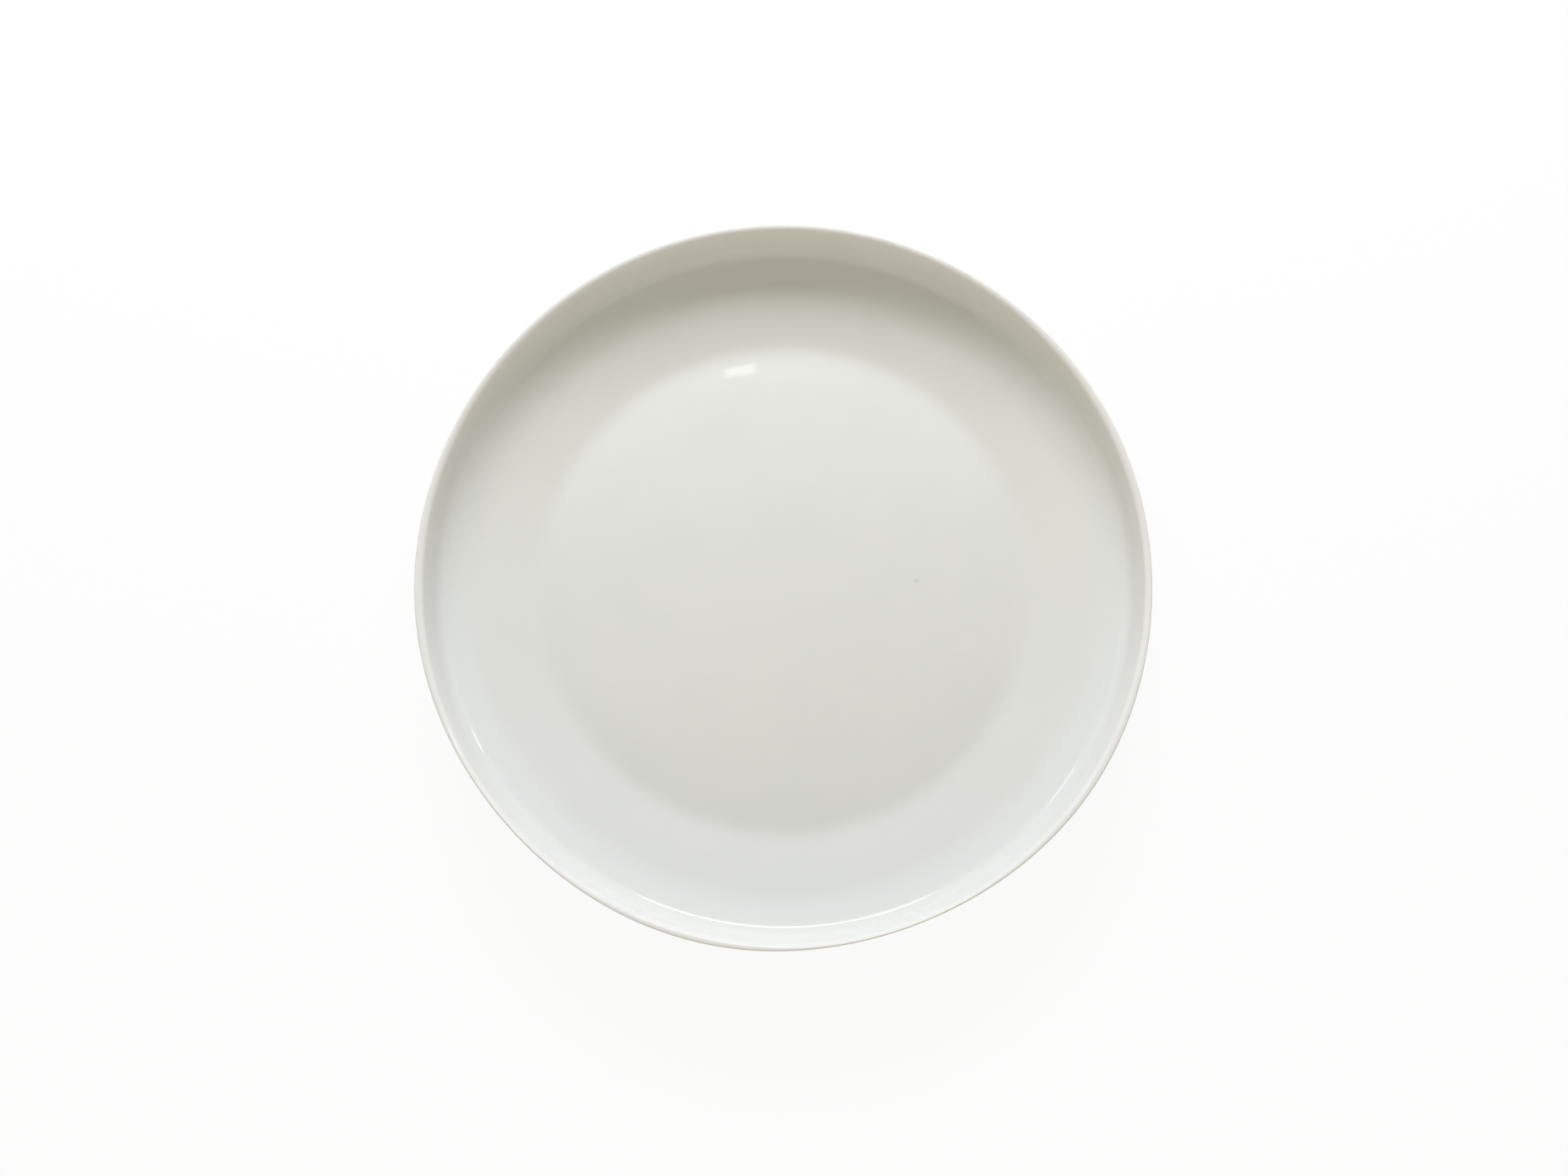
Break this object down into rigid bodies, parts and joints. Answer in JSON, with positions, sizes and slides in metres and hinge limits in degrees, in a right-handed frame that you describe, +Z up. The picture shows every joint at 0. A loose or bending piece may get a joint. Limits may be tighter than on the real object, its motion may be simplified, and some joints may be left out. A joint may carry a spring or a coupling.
{
  "type": "dessert plate",
  "caption": "Round white glazed porcelain plate with a flat well, a sloping shoulder, a steep low wall with a rounded lip and a bare foot ring, for serving dessert.",
  "frame": {"origin": "on the table, under the centre of the plate, in the plane of the foot ring's bare face", "axes": "+Z up along the plate's axis, out of the well; the plate is round, so +X and +Y are any two square directions, and -Y faces the viewer of the picture"},
  "size_m": [0.21, 0.21, 0.026],
  "materials": {
    "porcelain": "unglazed, fine matt grain",
    "glaze": "gloss"
  },
  "bodies": {
    "root": {"porcelain_body": "porcelain", "glaze_coat": "glaze", "base_glaze": "glaze"}
  },
  "joints": []
}
